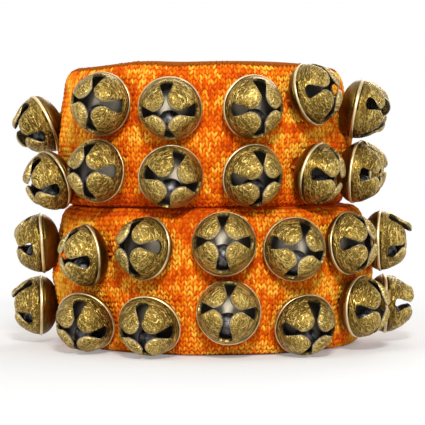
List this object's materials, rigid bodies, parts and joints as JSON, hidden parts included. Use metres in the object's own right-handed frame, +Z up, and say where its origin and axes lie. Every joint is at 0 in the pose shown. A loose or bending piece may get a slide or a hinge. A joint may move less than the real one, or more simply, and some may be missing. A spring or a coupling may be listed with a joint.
{
  "type": "ghungroo ankle bells",
  "caption": "Stacked knitted, padded ankle bands carrying rows of four-petal brass bells with loose pellets, closed behind by hook-and-loop straps; worn by dancers to jingle at each step.",
  "frame": {"origin": "middle of the base on the table, at the centre of the box that holds the whole object", "axes": "+Z up, the bells face -Y, the bands close at +Y"},
  "size_m": [0.1354, 0.1214, 0.0943],
  "materials": {
    "knit_pad": "matt knit",
    "closure_strap": "matt woven strap",
    "bell_brass": "hammered, aged",
    "pellet_iron": "smooth, dark"
  },
  "bodies": {
    "lower_band": {"lower_pad": "knit_pad"},
    "upper_band": {"upper_pad": "knit_pad"},
    "lower_closure": {"lower_closure_strap": "closure_strap"},
    "upper_closure": {"upper_closure_strap": "closure_strap"},
    "lower_bottom_bell_1": {"lower_bottom_bell_1": "bell_brass"},
    "lower_bottom_bell_2": {"lower_bottom_bell_2": "bell_brass"},
    "lower_bottom_bell_3": {"lower_bottom_bell_3": "bell_brass"},
    "lower_bottom_bell_4": {"lower_bottom_bell_4": "bell_brass"},
    "lower_bottom_bell_5": {"lower_bottom_bell_5": "bell_brass"},
    "lower_bottom_bell_6": {"lower_bottom_bell_6": "bell_brass"},
    "lower_bottom_bell_7": {"lower_bottom_bell_7": "bell_brass"},
    "lower_top_bell_1": {"lower_top_bell_1": "bell_brass"},
    "lower_top_bell_2": {"lower_top_bell_2": "bell_brass"},
    "lower_top_bell_3": {"lower_top_bell_3": "bell_brass"},
    "lower_top_bell_4": {"lower_top_bell_4": "bell_brass"},
    "lower_top_bell_5": {"lower_top_bell_5": "bell_brass"},
    "lower_top_bell_6": {"lower_top_bell_6": "bell_brass"},
    "lower_top_bell_7": {"lower_top_bell_7": "bell_brass"},
    "upper_bottom_bell_1": {"upper_bottom_bell_1": "bell_brass"},
    "upper_bottom_bell_2": {"upper_bottom_bell_2": "bell_brass"},
    "upper_bottom_bell_3": {"upper_bottom_bell_3": "bell_brass"},
    "upper_bottom_bell_4": {"upper_bottom_bell_4": "bell_brass"},
    "upper_bottom_bell_5": {"upper_bottom_bell_5": "bell_brass"},
    "upper_bottom_bell_6": {"upper_bottom_bell_6": "bell_brass"},
    "upper_bottom_bell_7": {"upper_bottom_bell_7": "bell_brass"},
    "upper_top_bell_1": {"upper_top_bell_1": "bell_brass"},
    "upper_top_bell_2": {"upper_top_bell_2": "bell_brass"},
    "upper_top_bell_3": {"upper_top_bell_3": "bell_brass"},
    "upper_top_bell_4": {"upper_top_bell_4": "bell_brass"},
    "upper_top_bell_5": {"upper_top_bell_5": "bell_brass"},
    "upper_top_bell_6": {"upper_top_bell_6": "bell_brass"},
    "upper_top_bell_7": {"upper_top_bell_7": "bell_brass"},
    "lower_bottom_pellet_1": {"lower_bottom_pellet_1": "pellet_iron"},
    "lower_bottom_pellet_2": {"lower_bottom_pellet_2": "pellet_iron"},
    "lower_bottom_pellet_3": {"lower_bottom_pellet_3": "pellet_iron"},
    "lower_bottom_pellet_4": {"lower_bottom_pellet_4": "pellet_iron"},
    "lower_bottom_pellet_5": {"lower_bottom_pellet_5": "pellet_iron"},
    "lower_bottom_pellet_6": {"lower_bottom_pellet_6": "pellet_iron"},
    "lower_bottom_pellet_7": {"lower_bottom_pellet_7": "pellet_iron"},
    "lower_top_pellet_1": {"lower_top_pellet_1": "pellet_iron"},
    "lower_top_pellet_2": {"lower_top_pellet_2": "pellet_iron"},
    "lower_top_pellet_3": {"lower_top_pellet_3": "pellet_iron"},
    "lower_top_pellet_4": {"lower_top_pellet_4": "pellet_iron"},
    "lower_top_pellet_5": {"lower_top_pellet_5": "pellet_iron"},
    "lower_top_pellet_6": {"lower_top_pellet_6": "pellet_iron"},
    "lower_top_pellet_7": {"lower_top_pellet_7": "pellet_iron"},
    "upper_bottom_pellet_1": {"upper_bottom_pellet_1": "pellet_iron"},
    "upper_bottom_pellet_2": {"upper_bottom_pellet_2": "pellet_iron"},
    "upper_bottom_pellet_3": {"upper_bottom_pellet_3": "pellet_iron"},
    "upper_bottom_pellet_4": {"upper_bottom_pellet_4": "pellet_iron"},
    "upper_bottom_pellet_5": {"upper_bottom_pellet_5": "pellet_iron"},
    "upper_bottom_pellet_6": {"upper_bottom_pellet_6": "pellet_iron"},
    "upper_bottom_pellet_7": {"upper_bottom_pellet_7": "pellet_iron"},
    "upper_top_pellet_1": {"upper_top_pellet_1": "pellet_iron"},
    "upper_top_pellet_2": {"upper_top_pellet_2": "pellet_iron"},
    "upper_top_pellet_3": {"upper_top_pellet_3": "pellet_iron"},
    "upper_top_pellet_4": {"upper_top_pellet_4": "pellet_iron"},
    "upper_top_pellet_5": {"upper_top_pellet_5": "pellet_iron"},
    "upper_top_pellet_6": {"upper_top_pellet_6": "pellet_iron"},
    "upper_top_pellet_7": {"upper_top_pellet_7": "pellet_iron"}
  },
  "joints": [
    {"name": "upper_band_lift", "type": "slide", "parent": "lower_band", "child": "upper_band", "axis": [0, 0, 1], "range_m": [0, 0.08]},
    {"name": "lower_closure_peel", "type": "hinge", "parent": "lower_band", "child": "lower_closure", "pos_m": [0.01442, 0.05793, 0.0235], "axis": [0, 0, -1], "range_deg": [0, 100]},
    {"name": "upper_closure_peel", "type": "hinge", "parent": "upper_band", "child": "upper_closure", "pos_m": [0.01144, 0.05427, 0.0708], "axis": [0, 0, -1], "range_deg": [0, 100]},
    {"name": "lower_bottom_bell_1_nod", "type": "hinge", "parent": "lower_band", "child": "lower_bottom_bell_1", "pos_m": [-0.05214, 0.00074, 0.013], "axis": [-0.122, 0.9925, 0], "range_deg": [-14, 2]},
    {"name": "lower_bottom_bell_2_nod", "type": "hinge", "parent": "lower_band", "child": "lower_bottom_bell_2", "pos_m": [-0.03843, -0.02865, 0.0131], "axis": [-0.9063, 0.4227, 0], "range_deg": [-2, 8]},
    {"name": "lower_bottom_bell_3_nod", "type": "hinge", "parent": "lower_band", "child": "lower_bottom_bell_3", "pos_m": [-0.018, -0.04218, 0.01319], "axis": [-0.951, 0.3093, 0], "range_deg": [-3, 14]},
    {"name": "lower_bottom_bell_4_nod", "type": "hinge", "parent": "lower_band", "child": "lower_bottom_bell_4", "pos_m": [0.00552, -0.04506, 0.014], "axis": [-0.9977, 0.0685, 0], "range_deg": [-14, 2]},
    {"name": "lower_bottom_bell_5_nod", "type": "hinge", "parent": "lower_band", "child": "lower_bottom_bell_5", "pos_m": [0.02704, -0.03784, 0.01249], "axis": [-0.9333, -0.359, 0], "range_deg": [-8, 14]},
    {"name": "lower_bottom_bell_6_nod", "type": "hinge", "parent": "lower_band", "child": "lower_bottom_bell_6", "pos_m": [0.04291, -0.02306, 0.015], "axis": [-0.5317, -0.8469, 0], "range_deg": [-14, 2]},
    {"name": "lower_bottom_bell_7_nod", "type": "hinge", "parent": "lower_band", "child": "lower_bottom_bell_7", "pos_m": [0.05231, 0.003, 0.01349], "axis": [-0.0093, -1, 0], "range_deg": [-14, 2]},
    {"name": "lower_top_bell_1_nod", "type": "hinge", "parent": "lower_band", "child": "lower_top_bell_1", "pos_m": [-0.05117, -0.00473, 0.03499], "axis": [-0.0885, 0.9961, 0], "range_deg": [-2, 14]},
    {"name": "lower_top_bell_2_nod", "type": "hinge", "parent": "lower_band", "child": "lower_top_bell_2", "pos_m": [-0.03443, -0.03252, 0.03251], "axis": [-0.4394, 0.8983, 0], "range_deg": [-2, 14]},
    {"name": "lower_top_bell_3_nod", "type": "hinge", "parent": "lower_band", "child": "lower_top_bell_3", "pos_m": [-0.01703, -0.04253, 0.03399], "axis": [-0.7672, 0.6414, 0], "range_deg": [-10, 14]},
    {"name": "lower_top_bell_4_nod", "type": "hinge", "parent": "lower_band", "child": "lower_top_bell_4", "pos_m": [0.00409, -0.04519, 0.0355], "axis": [-0.9969, 0.0785, 0], "range_deg": [-8, 14]},
    {"name": "lower_top_bell_5_nod", "type": "hinge", "parent": "lower_band", "child": "lower_top_bell_5", "pos_m": [0.02453, -0.03926, 0.03451], "axis": [-0.9748, -0.2231, 0], "range_deg": [-2, 14]},
    {"name": "lower_top_bell_6_nod", "type": "hinge", "parent": "lower_band", "child": "lower_top_bell_6", "pos_m": [0.03893, -0.02805, 0.0355], "axis": [-0.6306, -0.7761, 0], "range_deg": [-2, 14]},
    {"name": "lower_top_bell_7_nod", "type": "hinge", "parent": "lower_band", "child": "lower_top_bell_7", "pos_m": [0.04989, -0.0091, 0.03569], "axis": [-0.1741, -0.9847, 0], "range_deg": [-2, 14]},
    {"name": "upper_bottom_bell_1_nod", "type": "hinge", "parent": "upper_band", "child": "upper_bottom_bell_1", "pos_m": [-0.04779, -0.0128, 0.05831], "axis": [-0.5301, 0.8479, 0], "range_deg": [-5, 14]},
    {"name": "upper_bottom_bell_2_nod", "type": "hinge", "parent": "upper_band", "child": "upper_bottom_bell_2", "pos_m": [-0.03385, -0.03095, 0.05935], "axis": [-0.8749, 0.4843, 0], "range_deg": [-14, 2]},
    {"name": "upper_bottom_bell_3_nod", "type": "hinge", "parent": "upper_band", "child": "upper_bottom_bell_3", "pos_m": [-0.01358, -0.04071, 0.05905], "axis": [-0.9981, -0.0622, 0], "range_deg": [-13, 8]},
    {"name": "upper_bottom_bell_4_nod", "type": "hinge", "parent": "upper_band", "child": "upper_bottom_bell_4", "pos_m": [0.0097, -0.04017, 0.05949], "axis": [-0.9059, -0.4236, 0], "range_deg": [-12, 10]},
    {"name": "upper_bottom_bell_5_nod", "type": "hinge", "parent": "upper_band", "child": "upper_bottom_bell_5", "pos_m": [0.02779, -0.03095, 0.0601], "axis": [-0.5005, -0.8658, 0], "range_deg": [-9, 14]},
    {"name": "upper_bottom_bell_6_nod", "type": "hinge", "parent": "upper_band", "child": "upper_bottom_bell_6", "pos_m": [0.0413, -0.01373, 0.05919], "axis": [-0.2624, -0.965, 0], "range_deg": [-14, 2]},
    {"name": "upper_bottom_bell_7_nod", "type": "hinge", "parent": "upper_band", "child": "upper_bottom_bell_7", "pos_m": [0.04524, 0.0156, 0.0598], "axis": [0.3079, -0.9514, 0], "range_deg": [-14, 2]},
    {"name": "upper_top_bell_1_nod", "type": "hinge", "parent": "upper_band", "child": "upper_top_bell_1", "pos_m": [-0.05173, 0.00175, 0.07756], "axis": [-0.3144, 0.9493, 0], "range_deg": [-2, 14]},
    {"name": "upper_top_bell_2_nod", "type": "hinge", "parent": "upper_band", "child": "upper_top_bell_2", "pos_m": [-0.03321, -0.03146, 0.08069], "axis": [-0.9271, 0.3748, 0], "range_deg": [-2, 14]},
    {"name": "upper_top_bell_3_nod", "type": "hinge", "parent": "upper_band", "child": "upper_top_bell_3", "pos_m": [-0.01258, -0.04092, 0.08055], "axis": [-0.992, 0.126, 0], "range_deg": [-2, 14]},
    {"name": "upper_top_bell_4_nod", "type": "hinge", "parent": "upper_band", "child": "upper_top_bell_4", "pos_m": [0.0097, -0.04017, 0.0806], "axis": [-0.8983, -0.4393, 0], "range_deg": [-2, 14]},
    {"name": "upper_top_bell_5_nod", "type": "hinge", "parent": "upper_band", "child": "upper_top_bell_5", "pos_m": [0.02634, -0.03208, 0.08229], "axis": [-0.5326, -0.8464, 0], "range_deg": [-14, 9]},
    {"name": "upper_top_bell_6_nod", "type": "hinge", "parent": "upper_band", "child": "upper_top_bell_6", "pos_m": [0.04206, -0.01205, 0.0812], "axis": [-0.1574, -0.9875, 0], "range_deg": [-2, 14]},
    {"name": "upper_top_bell_7_nod", "type": "hinge", "parent": "upper_band", "child": "upper_top_bell_7", "pos_m": [0.04549, 0.01398, 0.0813], "axis": [0.2423, -0.9702, 0], "range_deg": [-2, 14]},
    {"name": "lower_bottom_pellet_1_rattle", "type": "slide", "parent": "lower_bottom_bell_1", "child": "lower_bottom_pellet_1", "axis": [0, 0, 1], "range_m": [0, 0.0076]},
    {"name": "lower_bottom_pellet_2_rattle", "type": "slide", "parent": "lower_bottom_bell_2", "child": "lower_bottom_pellet_2", "axis": [-0.1584, -0.3395, 0.9272], "range_m": [0, 0.0076]},
    {"name": "lower_bottom_pellet_3_rattle", "type": "slide", "parent": "lower_bottom_bell_3", "child": "lower_bottom_pellet_3", "axis": [-0.1159, -0.3562, 0.9272], "range_m": [0, 0.0076]},
    {"name": "lower_bottom_pellet_4_rattle", "type": "slide", "parent": "lower_bottom_bell_4", "child": "lower_bottom_pellet_4", "axis": [0.0107, 0.1561, 0.9877], "range_m": [0, 0.0076]},
    {"name": "lower_bottom_pellet_5_rattle", "type": "slide", "parent": "lower_bottom_bell_5", "child": "lower_bottom_pellet_5", "axis": [0.105, -0.2729, 0.9563], "range_m": [0, 0.0076]},
    {"name": "lower_bottom_pellet_6_rattle", "type": "slide", "parent": "lower_bottom_bell_6", "child": "lower_bottom_pellet_6", "axis": [0.0296, -0.0186, 0.9994], "range_m": [0, 0.0076]},
    {"name": "lower_bottom_pellet_7_rattle", "type": "slide", "parent": "lower_bottom_bell_7", "child": "lower_bottom_pellet_7", "axis": [0, 0, 1], "range_m": [0, 0.0076]},
    {"name": "lower_top_pellet_1_rattle", "type": "slide", "parent": "lower_top_bell_1", "child": "lower_top_pellet_1", "axis": [-0.0695, -0.0062, 0.9976], "range_m": [0, 0.0076]},
    {"name": "lower_top_pellet_2_rattle", "type": "slide", "parent": "lower_top_bell_2", "child": "lower_top_pellet_2", "axis": [-0.0783, -0.0383, 0.9962], "range_m": [0, 0.0076]},
    {"name": "lower_top_pellet_3_rattle", "type": "slide", "parent": "lower_top_bell_3", "child": "lower_top_pellet_3", "axis": [0.0893, 0.1068, 0.9903], "range_m": [0, 0.0076]},
    {"name": "lower_top_pellet_4_rattle", "type": "slide", "parent": "lower_top_bell_4", "child": "lower_top_pellet_4", "axis": [0.0123, 0.156, 0.9877], "range_m": [0, 0.0076]},
    {"name": "lower_top_pellet_5_rattle", "type": "slide", "parent": "lower_top_bell_5", "child": "lower_top_pellet_5", "axis": [-0.0039, 0.017, 0.9998], "range_m": [0, 0.0076]},
    {"name": "lower_top_pellet_6_rattle", "type": "slide", "parent": "lower_top_bell_6", "child": "lower_top_pellet_6", "axis": [-0.0406, 0.033, 0.9986], "range_m": [0, 0.0076]},
    {"name": "lower_top_pellet_7_rattle", "type": "slide", "parent": "lower_top_bell_7", "child": "lower_top_pellet_7", "axis": [0, 0, 1], "range_m": [0, 0.0076]},
    {"name": "upper_bottom_pellet_1_rattle", "type": "slide", "parent": "upper_bottom_bell_1", "child": "upper_bottom_pellet_1", "axis": [-0.29, -0.1813, 0.9397], "range_m": [0, 0.0076]},
    {"name": "upper_bottom_pellet_2_rattle", "type": "slide", "parent": "upper_bottom_bell_2", "child": "upper_bottom_pellet_2", "axis": [0, 0, 1], "range_m": [0, 0.0076]},
    {"name": "upper_bottom_pellet_3_rattle", "type": "slide", "parent": "upper_bottom_bell_3", "child": "upper_bottom_pellet_3", "axis": [0.0129, -0.2075, 0.9781], "range_m": [0, 0.0076]},
    {"name": "upper_bottom_pellet_4_rattle", "type": "slide", "parent": "upper_bottom_bell_4", "child": "upper_bottom_pellet_4", "axis": [0.0953, -0.2038, 0.9744], "range_m": [0, 0.0076]},
    {"name": "upper_bottom_pellet_5_rattle", "type": "slide", "parent": "upper_bottom_bell_5", "child": "upper_bottom_pellet_5", "axis": [0.2094, -0.1211, 0.9703], "range_m": [0, 0.0076]},
    {"name": "upper_bottom_pellet_6_rattle", "type": "slide", "parent": "upper_bottom_bell_6", "child": "upper_bottom_pellet_6", "axis": [0.1009, -0.0274, 0.9945], "range_m": [0, 0.0076]},
    {"name": "upper_bottom_pellet_7_rattle", "type": "slide", "parent": "upper_bottom_bell_7", "child": "upper_bottom_pellet_7", "axis": [0.0829, 0.0268, 0.9962], "range_m": [0, 0.0076]},
    {"name": "upper_top_pellet_1_rattle", "type": "slide", "parent": "upper_top_bell_1", "child": "upper_top_pellet_1", "axis": [-0.3861, -0.1279, 0.9135], "range_m": [0, 0.0076]},
    {"name": "upper_top_pellet_2_rattle", "type": "slide", "parent": "upper_top_bell_2", "child": "upper_top_pellet_2", "axis": [0.0131, 0.0324, 0.9994], "range_m": [0, 0.0076]},
    {"name": "upper_top_pellet_3_rattle", "type": "slide", "parent": "upper_top_bell_3", "child": "upper_top_pellet_3", "axis": [-0.0262, -0.2063, 0.9781], "range_m": [0, 0.0076]},
    {"name": "upper_top_pellet_4_rattle", "type": "slide", "parent": "upper_top_bell_4", "child": "upper_top_pellet_4", "axis": [0.0611, -0.125, 0.9903], "range_m": [0, 0.0076]},
    {"name": "upper_top_pellet_5_rattle", "type": "slide", "parent": "upper_top_bell_5", "child": "upper_top_pellet_5", "axis": [-0.2048, 0.1289, 0.9703], "range_m": [0, 0.0076]},
    {"name": "upper_top_pellet_6_rattle", "type": "slide", "parent": "upper_top_bell_6", "child": "upper_top_pellet_6", "axis": [0.2053, -0.0327, 0.9781], "range_m": [0, 0.0076]},
    {"name": "upper_top_pellet_7_rattle", "type": "slide", "parent": "upper_top_bell_7", "child": "upper_top_pellet_7", "axis": [0.0846, 0.0211, 0.9962], "range_m": [0, 0.0076]}
  ]
}
